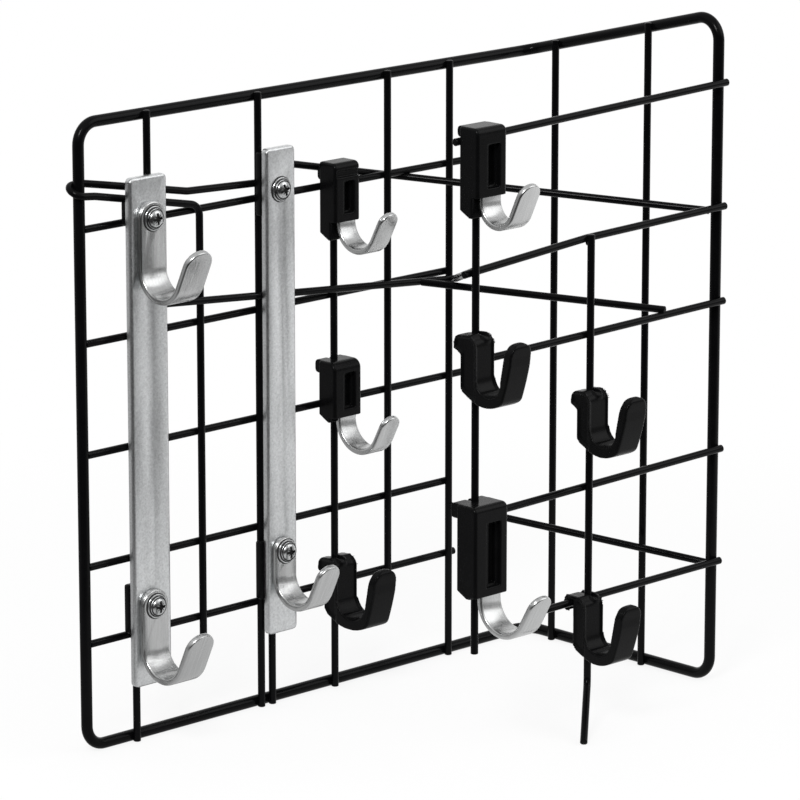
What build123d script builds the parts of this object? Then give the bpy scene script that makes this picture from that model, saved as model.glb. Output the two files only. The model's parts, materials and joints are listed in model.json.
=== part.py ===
from build123d import *
import math
import os

# Free-standing wire tool wall: a back panel, a side return at its right end and a short front wing,
# with two hook bars on the back panel and clip-on hooks on its wires.
# Millimetres, +Z up, the hooks point to -Y. The floor is z = 0 and the left upright stands at x = 0.

# Wires
FRAME_R = 3.2
WIRE_R = 2.0
WELD = 0.3
BEND_R = 13.0

# Outer frame, along its axis
PANEL_W = 375.0
WING_D = 160.0
FRAME_LOW = FRAME_R
PANEL_TOP = 381.2
WING_TOP = 422.2

# Layers of the back panel, from the frame towards the hooks
LAP = FRAME_R + WIRE_R - WELD
STEP = 2 * WIRE_R - WELD
Y_UPRIGHT = -LAP
Y_ROW = Y_UPRIGHT + STEP
Y_RAIL = Y_UPRIGHT - STEP
Y_BEHIND = Y_ROW + STEP

# Layers of the front wing
Y_WING_ROW = -WING_D - LAP
Y_WING_POST = Y_WING_ROW - STEP

# Back panel: heights of the rows and places of the uprights
ROW_Z = {"row_1": 318.4, "row_2": 249.9, "row_3": 182.6, "row_4": 114.2, "row_5": 66.9}
ROW_END = {"row_1": 318.0, "row_2": 301.0, "row_3": 320.5, "row_4": 302.5, "row_5": 306.0}
FOOT_Z = 1.0
HANGER_X = 48.6
POST_LEFT_X = 35.3
POST_RIGHT_X = 146.1
UPRIGHT_1_X = 137.0
UPRIGHT_2_X = 199.2
UPRIGHT_3_X = 245.0
UPRIGHT_4_X = 298.5
UPRIGHT_2_TOP = 331.2

# Side return
X_SIDE = PANEL_W - LAP
SIDE_1_Y = -27.0
SIDE_2_Y = -106.0

# Front wing: left end of each row, and its height there and at the frame
WING_POST_X = 158.2
WING_LEG_X = 255.3
WING_LEFT = 152.5
WING_RIGHT = PANEL_W + 2.0
WING_ROWS = {"wing_row_1": (145.0, 373.6, 380.5), "wing_row_3": (WING_LEFT, 240.8, 244.6),
             "wing_row_4": (WING_LEFT, 146.5, 151.0), "wing_row_5": (220.0, 78.0, 79.1)}
WING_RAIL_Z = (294.2, 301.4, 303.9)
WING_POST_Z = (65.0, 379.9)
LEG_KNEE_Z = 26.0
LEG_FOOT = (223.5, -196.5, 1.74)

# Hook bars: middle, width, low and high end
BAR_T = 5.0
BAR_BACK = -11.0
BAR_FRONT = BAR_BACK - BAR_T
BAR_CORNER = 3.0
BAR_BREAK = 0.8
BARS = {"bar_left": (39.8, 28.6, 37.7, 347.3), "bar_right": (145.4, 23.3, 48.7, 350.6)}

# Pads between the bars and the wires, and screws: place and whether the screw holds a hook
PAD_BACK = -6.7
PAD_CORNER = 1.5
PADS = {"pad_left_upper": (39.8, 29.6, 318.0, 344.0), "pad_left_lower": (39.8, 29.6, 62.0, 100.6),
        "pad_right_upper": (145.4, 24.3, 309.0, 348.0), "pad_right_lower": (142.5, 30.0, 92.0, 113.0)}
SHANK_R = 2.0
SHANK_TIP = PAD_BACK - 1.2
HEAD_R = 5.8
HEAD_T = 3.4
HEAD_BREAK = 1.6
WASHER_R = 7.4
WASHER_T = 1.2
SCREWS = {"screw_left_upper": (40.0, 322.7, True), "screw_left_lower": (38.6, 87.3, True),
          "screw_right_upper": (145.3, 325.0, False), "screw_right_lower": (144.6, 101.0, True)}

# Steel straps of the hooks: width, thickness, bend radius at mid thickness, turn and tip length
WIDE_STRAP = (20.0, 4.0, 17.5, 155.0, 25.0)
NARROW_STRAP = (17.0, 4.0, 17.0, 155.0, 22.0)
CLIP_STRAPS = {"1": (14.5, 3.6, 16.2, 152.0, 19.9), "2": (16.5, 3.6, 13.2, 155.0, 21.8),
               "3": (14.5, 3.6, 17.5, 152.0, 17.9), "4": (17.0, 3.6, 18.3, 150.0, 21.5)}
END_ROUND = 0.48
BAR_HOOKS = {"bar_hook_left_upper": (40.0, 322.7, 29.0, WIDE_STRAP),
             "bar_hook_left_lower": (38.6, 87.3, 24.5, WIDE_STRAP),
             "bar_hook_right": (144.6, 101.0, 14.5, NARROW_STRAP)}

# Clip-on holders: width, height, depth in front of the wire, top, foot and depth of the ear,
# how far above the bottom the strap comes out and begins to bend, rounding of the brow,
# and how far the window's head is below the top
HOLDERS = {"1": (20.5, 47.8, 12.5, 3.5, 11.5, 5.0, 11.5, 11.5, 3.5, 11.3),
           "2": (24.0, 53.0, 13.0, 0.0, 6.4, 5.0, 12.3, 9.4, 3.5, 9.8),
           "3": (22.5, 37.7, 12.5, 0.0, 8.0, 6.5, 3.0, 1.7, 5.5, 7.0),
           "4": (27.0, 56.0, 14.0, 0.0, 8.8, 8.0, 1.2, -1.0, 3.5, 10.4)}
HOLDER_BACK = 1.3
HEEL = (7.5, 4.0)
SIDE_R = 1.5
EAR_R = 2.2
GROOVE_R = 2.1
SNAP_W = 3.3
CAP = 2.8
STRAP_WALL = 1.2
STRAP_ROOT = 4.0
STRAP_SHIFT = 1.0

# Window in a holder's front and the slit in its floor; widths as shares of the holder's width
WINDOW_T = 3.0
WINDOW_R = 1.0
WINDOW_SILL = 0.8
WINDOW_W = 0.43
WINDOW_SHIFT = 0.065
SLIT_W = 0.2
SLIT_SHIFT = 0.12
SLIT_END = 1.5

# Recess above a ledge on the first holder's front: head and foot below the top, depth and left rim
LEDGE = (4.4, 8.8, 1.8, 1.5)

# Moulded hooks: reach to the left and right of the wire, depth of the leg in front of the wire,
# reach of the tip, fall of the bend and of the tip below the top, and depth of the lip behind the wire
MOULDED = {"1": (7.6, 10.9, 9.3, 44.5, 41.6, 3.4, 7.5), "2": (11.5, 5.2, 11.4, 41.0, 40.5, 2.4, 7.0),
           "3": (10.1, 7.3, 9.4, 40.3, 37.5, 1.2, 6.5), "4": (11.8, 4.8, 8.6, 40.0, 38.6, 1.7, 8.6)}
LEG_BACK = 1.3
LEG_END = 9.0
HEEL_TIP = (0.8, 6.0)
SOLE = (8.4, 2.3)
LIP_ROOT = 11.4
LIP_LOW = 9.3
LIP_R = 2.0
CROWN = 3.0
BROW = 6.5
ARM_LOW = (8.2, 4.4)
ARM_BULGE = 0.7
TIP_T = 5.4
TIP_FALL = 3.7
INNER_LOW = (9.4, 17.0)
THROAT = 6.0
THROAT_BACK = 16.0
ARM_R = 6.0
TROUGH = (0.6, 0.2, 2.6)
ROW_SLOT = (6.1, 1.7)
SLANT = math.sqrt(0.5)
NEAR = 0.1


def add(a, b):
    return tuple(i + j for i, j in zip(a, b))


def sub(a, b):
    return tuple(i - j for i, j in zip(a, b))


def scale(a, k):
    return tuple(i * k for i in a)


def unit(a):
    return scale(a, 1 / math.sqrt(sum(i * i for i in a)))


def straight(p0, p1, r=WIRE_R):
    """One straight wire from p0 to p1."""
    run = sub(p1, p0)
    length = math.sqrt(sum(i * i for i in run))
    return Solid.make_cylinder(r, length, Plane(origin=p0, z_dir=run))


def bent_edges(points, radii):
    """Edges of an open path through points, rounded at every inner point."""
    edges = []
    last = points[0]
    for before, corner, after, radius in zip(points, points[1:], points[2:], radii):
        back = unit(sub(before, corner))
        ahead = unit(sub(after, corner))
        half = math.acos(sum(i * j for i, j in zip(back, ahead))) / 2
        reach = radius / math.tan(half)
        start = add(corner, scale(back, reach))
        end = add(corner, scale(ahead, reach))
        middle_run = unit(add(back, ahead))
        middle = add(corner, scale(middle_run, radius / math.sin(half) - radius))
        edges.append(Edge.make_line(last, start))
        edges.append(Edge.make_three_point_arc(start, middle, end))
        last = end
    edges.append(Edge.make_line(last, points[-1]))
    return edges


def bent(points, radii, r=WIRE_R):
    """One bent wire along the points."""
    path = Wire(bent_edges(points, radii))
    section = Plane(origin=points[0], z_dir=sub(points[1], points[0])) * Circle(r)
    return sweep(section, path=path)


def frame_loop():
    """The closed outer frame, made of two bent halves that meet in the middle of the panel."""
    top_mid = (PANEL_W / 2, 0, PANEL_TOP)
    low_mid = (PANEL_W / 2, 0, FRAME_LOW)
    left = [top_mid, (0, 0, PANEL_TOP), (0, 0, FRAME_LOW), low_mid]
    right = [top_mid, (PANEL_W, 0, PANEL_TOP), (PANEL_W, -WING_D, WING_TOP),
             (PANEL_W, -WING_D, FRAME_LOW), (PANEL_W, 0, FRAME_LOW), low_mid]
    return bent(left, [BEND_R] * 2, FRAME_R) + bent(right, [BEND_R] * 4, FRAME_R)


def loop_wire():
    """Wire that wraps the left upright, runs right in two strands and hangs down as a rod."""
    wrap_x = -5.6
    points = [(139.5, Y_ROW, 327.6), (83.0, Y_ROW, 330.3), (24.0, Y_ROW, 341.8), (6.5, 5.0, 344.5),
              (wrap_x, 5.0, 344.5), (wrap_x, -5.0, 339.5), (8.0, -5.0, 338.0),
              (89.5, Y_UPRIGHT, 321.6), (89.5, Y_UPRIGHT, 52.0)]
    return bent(points, [20.0, 20.0, 15.0, 5.55, 5.55, 20.0, 8.0])


def facing(x, y, z):
    """Plane whose x runs forward to -Y and whose y runs up, for hook profiles."""
    return Plane(origin=(x, y, z), x_dir=(0, -1, 0), z_dir=(-1, 0, 0))


def strap_hook(strap, rise):
    """Flat strap bent to a J, back face on the local x = 0, bend centre at the local y = 0."""
    width, thick, radius, turn, tip = strap
    centre = thick / 2 + radius
    inner = radius - thick / 2
    outer = radius + thick / 2

    def on_arc(r, degrees):
        a = math.radians(180 + degrees)
        return (centre + r * math.cos(a), r * math.sin(a))

    lean = math.radians(turn - 90)
    run = (tip * math.cos(lean), tip * math.sin(lean))
    outer_end = add(on_arc(outer, turn), run)
    inner_end = add(on_arc(inner, turn), run)
    outline = [Edge.make_line((0, rise), (0, 0)),
               Edge.make_three_point_arc((0, 0), on_arc(outer, turn / 2), on_arc(outer, turn)),
               Edge.make_line(on_arc(outer, turn), outer_end),
               Edge.make_line(outer_end, inner_end),
               Edge.make_line(inner_end, on_arc(inner, turn)),
               Edge.make_three_point_arc(on_arc(inner, turn), on_arc(inner, turn / 2), (thick, 0)),
               Edge.make_line((thick, 0), (thick, rise)),
               Edge.make_line((thick, rise), (0, rise))]
    solid = extrude(make_face(outline), width / 2, both=True)
    end_mid = scale(add(outer_end, inner_end), 0.5)
    corners = []
    for edge in solid.edges():
        middle = (edge.center().X, edge.center().Y)
        if abs(edge.length - thick) < NEAR and math.dist(middle, end_mid) < NEAR:
            corners.append(edge)
    return fillet(corners, width * END_ROUND)


def bar_hook(x, screw_z, leg, strap):
    """Strap hook with a round top end and a hole for its screw."""
    width, thick = strap[0], strap[1]
    rise = leg + width / 2
    solid = strap_hook(strap, rise)
    top = [e for e in solid.edges() if abs(e.length - thick) < NEAR and e.center().Y > rise - NEAR]
    solid = fillet(top, width * END_ROUND)
    placed = facing(x, BAR_FRONT, screw_z - leg) * solid
    return placed - across(x, screw_z, SHANK_R, BAR_FRONT - thick, BAR_FRONT)


def across(x, z, r, y_front, y_back):
    """Round rod along Y."""
    return Solid.make_cylinder(r, y_back - y_front, Plane(origin=(x, y_front, z), z_dir=(0, 1, 0)))


def screw(x, z, over_hook):
    """Pan head screw with its washer and shank."""
    seat = BAR_FRONT - (WIDE_STRAP[1] if over_hook else 0.0)
    face = seat - WASHER_T
    washer = across(x, z, WASHER_R, face, seat)
    head = across(x, z, HEAD_R, face - HEAD_T, face)
    head = chamfer(head.edges().filter_by(GeomType.CIRCLE).sort_by(Axis.Y)[0], HEAD_BREAK)
    shank = across(x, z, SHANK_R, face, SHANK_TIP)
    return washer + head + shank


def holes(solid, x, width, y_front, y_back, low, high):
    """Solid with the shank holes of the screws that pass it."""
    for sx, sz, _ in SCREWS.values():
        if abs(sx - x) < width / 2 and low < sz < high:
            solid = solid - across(sx, sz, SHANK_R, y_front, y_back)
    return solid


def bar(x, width, low, high):
    """Flat hook bar with rounded corners and a broken front edge."""
    solid = Pos(x, BAR_BACK - BAR_T / 2, (low + high) / 2) * Box(width, BAR_T, high - low)
    solid = fillet(solid.edges().filter_by(Axis.Y), BAR_CORNER)
    solid = chamfer(solid.faces().sort_by(Axis.Y)[0].edges(), BAR_BREAK)
    return holes(solid, x, width, BAR_FRONT, BAR_BACK, low, high)


def pad(x, width, low, high):
    """Plastic pad between a bar and the wires."""
    depth = PAD_BACK - BAR_BACK
    solid = Pos(x, BAR_BACK + depth / 2, (low + high) / 2) * Box(width, depth, high - low)
    solid = fillet(solid.edges().filter_by(Axis.Y), PAD_CORNER)
    return holes(solid, x, width, BAR_BACK, SHANK_TIP, low, high)


def strap_back(size, strap):
    """Depth of a clip strap's back face in front of the wire axis."""
    return size[2] - STRAP_WALL - strap[1]


def holder(size, strap, capped):
    """Clip-on holder, local origin on the wire axis at its top; a cap closes the groove at the top."""
    width, height, front, ear_top, ear_low, ear_back, strap_exit, _, brow_r, head = size
    body = Pos(0, (HOLDER_BACK - front) / 2, -height / 2) * Box(width, HOLDER_BACK + front, height)
    heel = body.edges().filter_by(Axis.X).sort_by(Axis.Z)[0:2].sort_by(Axis.Y)[1]
    body = chamfer(heel, HEEL[0], HEEL[1], reference=body.faces().sort_by(Axis.Z)[0])
    brow = body.edges().filter_by(Axis.X).sort_by(Axis.Z)[-2:].sort_by(Axis.Y)[0]
    body = fillet(brow, brow_r)
    body = fillet(body.faces().sort_by(Axis.Y)[0].edges().filter_by(Axis.Z), SIDE_R)
    ear_run = ear_back - HOLDER_BACK + 1
    lobe = Box(width - 2 * SIDE_R, ear_run, ear_low - ear_top)
    lobe = Pos(0, ear_back - ear_run / 2, -(ear_top + ear_low) / 2) * lobe
    lobe = fillet(lobe.faces().sort_by(Axis.Y)[-1].edges().filter_by(Axis.X), EAR_R)
    body = body + lobe
    low = -height + strap_exit
    back = -strap_back(size, strap)
    step = Pos(0, (back - front) / 2, low - strap_exit / 2) * Box(width, back + front, strap_exit)
    pocket = Box(strap[0], strap[1], STRAP_ROOT)
    pocket = Pos(STRAP_SHIFT, back - strap[1] / 2, low + STRAP_ROOT / 2) * pocket
    sill = low + STRAP_ROOT + WINDOW_SILL
    window = Box(WINDOW_W * width, 2 * WINDOW_T, -head - sill)
    window = fillet(window.edges().filter_by(Axis.Y), WINDOW_R)
    window = Pos(WINDOW_SHIFT * width, -front, (sill - head) / 2) * window
    slit = Box(SLIT_W * width, 4 * WINDOW_T, -head - sill - 2 * SLIT_END)
    slit = Pos(SLIT_SHIFT * width, -front, (sill - head) / 2) * slit
    groove_top = -CAP if capped else 1.0
    groove = Solid.make_cylinder(GROOVE_R, height + 2 + groove_top, Plane((0, 0, -height - 2)))
    snap = Box(SNAP_W, ear_back, height + groove_top)
    snap = Pos(0, ear_back / 2 + 0.5, (groove_top - height) / 2) * snap
    return body - step - pocket - window - slit - groove - snap


def plastic_hook(left, right, front, reach, fall, tip, lip):
    """Moulded J hook with a lip at its back, local origin on the wire axis at its top."""
    leg_low = (-LEG_BACK, LEG_END - fall)
    heel = (HEEL_TIP[0], HEEL_TIP[1] - fall)
    sole = (SOLE[0], SOLE[1] - fall)
    arm_low = (reach - ARM_LOW[0], ARM_LOW[1] - fall)
    bottom = ((sole[0] + arm_low[0]) / 2, -fall)
    tip_front = (reach, -tip - TIP_FALL)
    tip_top = (reach - TIP_T / 2, -tip)
    tip_back = (reach - TIP_T, -tip - TIP_FALL)
    arm_mid = add(scale(add(arm_low, tip_front), 0.5), (ARM_BULGE, 0.0))
    inner_low = (reach - INNER_LOW[0], INNER_LOW[1] - fall)
    throat_back = (front, THROAT_BACK - fall)
    throat = ((front + inner_low[0]) / 2, THROAT - fall)
    lip_low = (LIP_R - lip, -LIP_LOW)
    lip_turn = (LIP_R * (1 - SLANT) - lip, LIP_R * (1 - SLANT) - LIP_LOW)
    crown_turn = (CROWN * (1 - SLANT) - lip, -CROWN * (1 - SLANT))
    brow_turn = (front - BROW * (1 - SLANT), -BROW * (1 - SLANT))
    outline = [Edge.make_line(leg_low, (-LEG_BACK, -LIP_ROOT)),
               Edge.make_line((-LEG_BACK, -LIP_ROOT), lip_low),
               Edge.make_three_point_arc(lip_low, lip_turn, (-lip, LIP_R - LIP_LOW)),
               Edge.make_line((-lip, LIP_R - LIP_LOW), (-lip, -CROWN)),
               Edge.make_three_point_arc((-lip, -CROWN), crown_turn, (CROWN - lip, 0)),
               Edge.make_line((CROWN - lip, 0), (front - BROW, 0)),
               Edge.make_three_point_arc((front - BROW, 0), brow_turn, (front, -BROW)),
               Edge.make_line((front, -BROW), throat_back),
               Edge.make_three_point_arc(throat_back, throat, inner_low),
               Edge.make_line(inner_low, tip_back),
               Edge.make_three_point_arc(tip_back, tip_top, tip_front),
               Edge.make_three_point_arc(tip_front, arm_mid, arm_low),
               Edge.make_three_point_arc(arm_low, bottom, sole),
               Edge.make_line(sole, heel),
               Edge.make_line(heel, leg_low)]
    solid = facing(right, 0, 0) * extrude(make_face(outline), left + right)
    soft = []
    for edge in solid.edges().filter_by(Axis.X):
        if math.dist((-edge.center().Y, edge.center().Z), arm_low) < NEAR:
            soft.append(edge)
    solid = fillet(soft, ARM_R)
    arm = reach - front - TIP_T
    tip_r = (left + right) * END_ROUND
    for edge, inward in ((-left, 1), (right, -1)):
        corner = Pos(edge, arm / 2 - reach - 1, -tip) * Box(2 * tip_r, arm + 2, 2 * tip_r)
        rounding = across(edge + inward * tip_r, -tip - tip_r, tip_r, -reach - 4, arm - reach + 2)
        solid = solid - (corner - rounding)
    groove = Solid.make_cylinder(GROOVE_R, fall + 4, Plane((0, 0, -fall - 2)))
    snap = Pos(0, (lip + 1) / 2, -LIP_ROOT / 2) * Box(SNAP_W, lip + 1, LIP_ROOT + 2)
    trough = across(TROUGH[0], TROUGH[1], TROUGH[2], -front - 1, 0)
    return solid - groove - snap - trough


parts = {"frame": frame_loop(), "loop_wire": loop_wire()}

for name, z in ROW_Z.items():
    parts[name] = straight((FRAME_R - 0.5, Y_ROW, z), (ROW_END[name], Y_ROW, z))

rail_top = PANEL_TOP + 2.0
uprights = {"hanger": (HANGER_X, 335.0, rail_top), "post_left": (POST_LEFT_X, FOOT_Z, 330.6),
            "upright_1": (UPRIGHT_1_X, FOOT_Z, rail_top), "post_right": (POST_RIGHT_X, FOOT_Z, 342.5),
            "upright_2": (UPRIGHT_2_X, FOOT_Z, UPRIGHT_2_TOP),
            "upright_3": (UPRIGHT_3_X, ROW_Z["row_5"] - 2.5, rail_top),
            "upright_4": (UPRIGHT_4_X, FOOT_Z, rail_top)}
for name, (x, low, high) in uprights.items():
    parts[name] = straight((x, Y_UPRIGHT, low), (x, Y_UPRIGHT, high))

side_rise = (WING_TOP - PANEL_TOP) / WING_D
for name, y in (("side_upright_1", SIDE_1_Y), ("side_upright_2", SIDE_2_Y)):
    parts[name] = straight((X_SIDE, y, FOOT_Z), (X_SIDE, y, rail_top - y * side_rise))

for name, (left, left_z, right_z) in WING_ROWS.items():
    parts[name] = straight((left, Y_WING_ROW, left_z), (WING_RIGHT, Y_WING_ROW, right_z))
wing_rail = [(x, Y_WING_ROW, z) for x, z in zip((WING_LEFT, WING_LEG_X, WING_RIGHT), WING_RAIL_Z)]
parts["wing_row_2"] = bent(wing_rail, [60.0])
parts["wing_post"] = straight((WING_POST_X, Y_WING_POST, WING_POST_Z[0]),
                              (WING_POST_X, Y_WING_POST, WING_POST_Z[1]))
leg_top = (WING_LEG_X, Y_WING_POST, WING_RAIL_Z[1] + 2.0)
leg_knee = (WING_LEG_X, Y_WING_POST, LEG_KNEE_Z)
parts["wing_leg"] = bent([leg_top, leg_knee, LEG_FOOT], [8.0])

parts["front_rail"] = straight((33.0, Y_RAIL, 269.0), (301.0, Y_RAIL, 245.8))
parts["tie_left"] = straight((297.0, Y_RAIL - 1.6, 246.1), (161.5, Y_WING_ROW + 1.8, 294.7))
parts["tie_top"] = bent([(143.5, Y_ROW, 340.4), (152.0, Y_ROW, 338.6), (172.0, Y_BEHIND, 334.3),
                         (262.0, Y_BEHIND, 314.8), (364.2, Y_WING_ROW + 1.6, 302.6)], [15.0, 15.0, 14.0])
parts["tie_middle"] = straight((270.0, Y_RAIL - 1.7, 248.3), (323.0, Y_WING_ROW - 0.8, 247.3))
parts["tie_low"] = straight((UPRIGHT_4_X + 0.2, Y_UPRIGHT - 1.7, 98.9), (373.7, -WING_D + 2.7, 77.0))

for name, values in BARS.items():
    parts[name] = bar(*values)
for name, values in PADS.items():
    parts[name] = pad(*values)
for name, values in SCREWS.items():
    parts[name] = screw(*values)
for name, values in BAR_HOOKS.items():
    parts[name] = bar_hook(*values)

clips = {"1": (UPRIGHT_2_X, Y_UPRIGHT, UPRIGHT_2_TOP + CAP + 0.3, True),
         "2": (WING_POST_X, Y_WING_POST, WING_POST_Z[1] + CAP + 0.3, True),
         "3": (UPRIGHT_2_X, Y_UPRIGHT, 210.4, False), "4": (WING_POST_X, Y_WING_POST, 158.0, False)}
for name, (x, y, top, capped) in clips.items():
    size = HOLDERS[name]
    strap = CLIP_STRAPS[name]
    parts["holder_" + name] = Pos(x, y, top) * holder(size, strap, capped)
    bottom, strap_exit, bend_start = top - size[1], size[6], size[7]
    bend = facing(x + STRAP_SHIFT, y - strap_back(size, strap), bottom + bend_start)
    parts["clip_hook_" + name] = bend * strap_hook(strap, strap_exit - bend_start + STRAP_ROOT)

ledge_x, ledge_y, ledge_top, _ = clips["1"]
ledge = Box(HOLDERS["1"][0], 2 * LEDGE[2], LEDGE[1] - LEDGE[0])
ledge = Pos(LEDGE[3], -HOLDERS["1"][2], -(LEDGE[0] + LEDGE[1]) / 2) * ledge
parts["holder_1"] = parts["holder_1"] - Pos(ledge_x, ledge_y, ledge_top) * ledge

hooks = {"1": (UPRIGHT_2_X, Y_UPRIGHT, 84.5), "2": (WING_POST_X, Y_WING_POST, 260.0),
         "3": (WING_LEG_X, Y_WING_POST, 209.9), "4": (WING_LEG_X, Y_WING_POST, 82.4)}
for name, place in hooks.items():
    parts["plastic_hook_" + name] = Pos(*place) * plastic_hook(*MOULDED[name])

# The lowest moulded hook hangs over a row of the wing, so its lip has a slot for that row
slot_run = ROW_SLOT[0] - LEG_BACK
slot = Pos(0, LEG_BACK + slot_run / 2, -LIP_ROOT / 2 - ROW_SLOT[1]) * Box(PANEL_W, slot_run, LIP_ROOT)
parts["plastic_hook_4"] = parts["plastic_hook_4"] - Pos(*hooks["4"]) * slot

os.makedirs("parts", exist_ok=True)
for name, solid in parts.items():
    export_step(solid, "parts/" + name + ".step")
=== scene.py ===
import json
import math

import bmesh
import bpy
from mathutils import Matrix, Vector
from mathutils.bvhtree import BVHTree


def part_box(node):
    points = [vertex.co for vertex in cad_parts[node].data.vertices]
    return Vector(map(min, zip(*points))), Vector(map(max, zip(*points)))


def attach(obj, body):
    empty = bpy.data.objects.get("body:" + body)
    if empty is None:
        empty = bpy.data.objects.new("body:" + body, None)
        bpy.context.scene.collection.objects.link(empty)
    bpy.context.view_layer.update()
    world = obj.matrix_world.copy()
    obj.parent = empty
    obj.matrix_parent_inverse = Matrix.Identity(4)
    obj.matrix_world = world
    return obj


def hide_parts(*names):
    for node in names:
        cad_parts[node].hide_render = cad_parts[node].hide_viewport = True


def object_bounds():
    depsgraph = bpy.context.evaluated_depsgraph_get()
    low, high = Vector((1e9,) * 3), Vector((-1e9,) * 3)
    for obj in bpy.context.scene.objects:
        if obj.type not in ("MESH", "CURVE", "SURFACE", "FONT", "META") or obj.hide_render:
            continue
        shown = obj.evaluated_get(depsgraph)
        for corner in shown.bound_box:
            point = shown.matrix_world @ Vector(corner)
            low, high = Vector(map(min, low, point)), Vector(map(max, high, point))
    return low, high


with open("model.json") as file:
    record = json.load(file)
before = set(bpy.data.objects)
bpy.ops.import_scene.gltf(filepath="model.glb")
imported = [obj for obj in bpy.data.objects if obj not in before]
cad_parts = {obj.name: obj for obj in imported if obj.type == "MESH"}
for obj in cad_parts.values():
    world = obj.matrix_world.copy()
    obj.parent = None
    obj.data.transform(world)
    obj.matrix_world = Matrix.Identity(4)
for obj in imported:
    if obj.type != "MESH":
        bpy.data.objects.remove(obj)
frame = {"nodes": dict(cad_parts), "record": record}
CAD_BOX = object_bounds()

bl_info = {
    "name": "Wire tool wall",
    "version": (1, 0, 0),
    "blender": (4, 5, 0),
    "location": "3D View > Sidebar > Tool wall",
    "description": "Dresses the packed wire tool wall: coated wires, plated bars, hooks and moulded clips",
    "category": "Object",
}

MM = 0.001

# Bodies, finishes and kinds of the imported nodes
BODY = {node: body for body, nodes in frame["record"]["behaviour"]["bodies"].items() for node in nodes}
SLOT = {part["node"]: part["material_slot"] for part in frame["record"]["subparts"]}
WIRES = sorted(node for node in SLOT if SLOT[node] == "wire")
BAR_NODES = ("bar_left", "bar_right")
BAR_HOOKS = ("bar_hook_left_upper", "bar_hook_left_lower", "bar_hook_right")
CLIP_HOOKS = tuple("clip_hook_%d" % i for i in range(1, 5))
HOLDERS = tuple("holder_%d" % i for i in range(1, 5))
MOULDED_HOOKS = tuple("plastic_hook_%d" % i for i in range(1, 5))
SCREWS = ("screw_left_upper", "screw_left_lower", "screw_right_upper", "screw_right_lower")

# Merging of loose triangles into flat faces, and the angles in degrees over which an edge stays sharp
MERGE_GAP = 0.002 * MM
FLAT_ANGLE = 0.4
WIRE_SHARP = 40
PLATE_SHARP = 30
SMALL_SHARP = 35
MELT_SHARP = 60

# Wires: an end is a small face of many sides, a weld lies where two wires come close
END_SIDES = 12
END_GIRTH = 4.0 * MM
END_FIT = 0.98
END_BALL = {"Segments": 20, "Rings": 10, "Radius": 1.0}
IN_LINE = 0.999
WELD_STEP = 0.5 * MM
WELD_REACH = 2.3 * MM
WELD_SPREAD = (0.85, 1.1)
WELD_FACETS = 2
WELD_SEED = 3

# Bars and steel straps: edges over the angle are rounded
STRAP_SEGMENTS = 3
STRAP_ANGLE = 35

# Pads behind the bars: left, right, bottom and top in millimetres
PAD_SPANS = {
    "pad_left_upper": (26.6, 54.6, 318.0, 333.0),
    "pad_left_lower": (25.0, 54.6, 70.5, 100.6),
    "pad_right_upper": (133.3, 157.5, 309.0, 348.0),
    "pad_right_lower": (131.2, 157.5, 70.6, 107.4),
}
PAD_CORNER = 1.5 * MM
PAD_CORNER_SEGMENTS = 4
PAD_SEGMENTS = 2
PAD_ANGLE = 60

# Screws: heights of the stack that stands on a bar, facing the front
WASHER_HEIGHT = 1.2 * MM
SPRING_HEIGHT = 1.2 * MM
HEAD_HEIGHT = 2.2 * MM
SCREW_STAND = WASHER_HEIGHT + SPRING_HEIGHT + HEAD_HEIGHT
FACING_FRONT = (math.radians(90), 0.0, 0.0)
SCREW_SEED = 5

# Screws: a hole's share of the head, a shade ring's of its width, a recess's of its length and the head's
# height; the shade rings are thin rings of painted shade round the washers and the head
HEAD_BALL = {"Segments": 32, "Rings": 16, "Radius": 1.0}
HOLE_SHARE = 0.55
SPRING_SWEEP = math.radians(346)
RING_STEPS = 40
RING_ROUND = 0.35
RING_ROUND_STEPS = 3
SHADE_RING_WIDE, SHADE_RING_HIGH, SHADE_RING_LEVEL = 2.0, 0.6, 0.3
CROSS_WIDE, CROSS_DEEP = 0.24, 1.7
TICK_LONG, TICK_WIDE, TICK_DEEP = 0.8, 0.09, 0.9
UNDER_WIDE, UNDER_DEEP = 3.0, 2.0

# Moulded pieces: how their edges melt, and the wires that run in their bores
VOXEL = 0.4 * MM
MELT_FACTOR = 0.5
HOOK_SWELL = 0.3 * MM
HOLDER_SWELL = HOOK_SWELL / 2
HOLDER_ROUNDS = 6
RUNS_ON = {"holder_1": "upright_2", "holder_3": "upright_2", "plastic_hook_1": "upright_2",
           "holder_2": "wing_post", "holder_4": "wing_post", "plastic_hook_2": "wing_post",
           "plastic_hook_3": "wing_leg", "plastic_hook_4": "wing_leg"}
STRAIGHT_ABOVE = 40.0 * MM
BORE = 2.45 * MM

# Moulded hooks: the radius of the head's back and the rounds of melting, less on the slotted one
CROWN_R = {"plastic_hook_1": 6.0 * MM, "plastic_hook_2": 6.0 * MM, "plastic_hook_3": 6.0 * MM,
           "plastic_hook_4": 3.0 * MM}
MELT_ROUNDS = {"plastic_hook_1": 16, "plastic_hook_2": 16, "plastic_hook_3": 16, "plastic_hook_4": 7}
ARM_DEPTH = 15.0 * MM
TIP_DEPTH = 10.0 * MM
TIP_HEIGHT = 9.5 * MM
LIP_HEIGHT = 12.0 * MM
HEEL_GAP = 0.15 * MM
SIDE_AREA = 150.0 * MM * MM

# How far a face's normal leans along an axis, to tell which way the face looks
SQUARE_ON = 0.99
ASIDE = 0.3
AHEAD_ABOVE, AHEAD_BELOW = 0.1, 0.5
BORE_TILT = 0.5

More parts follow.
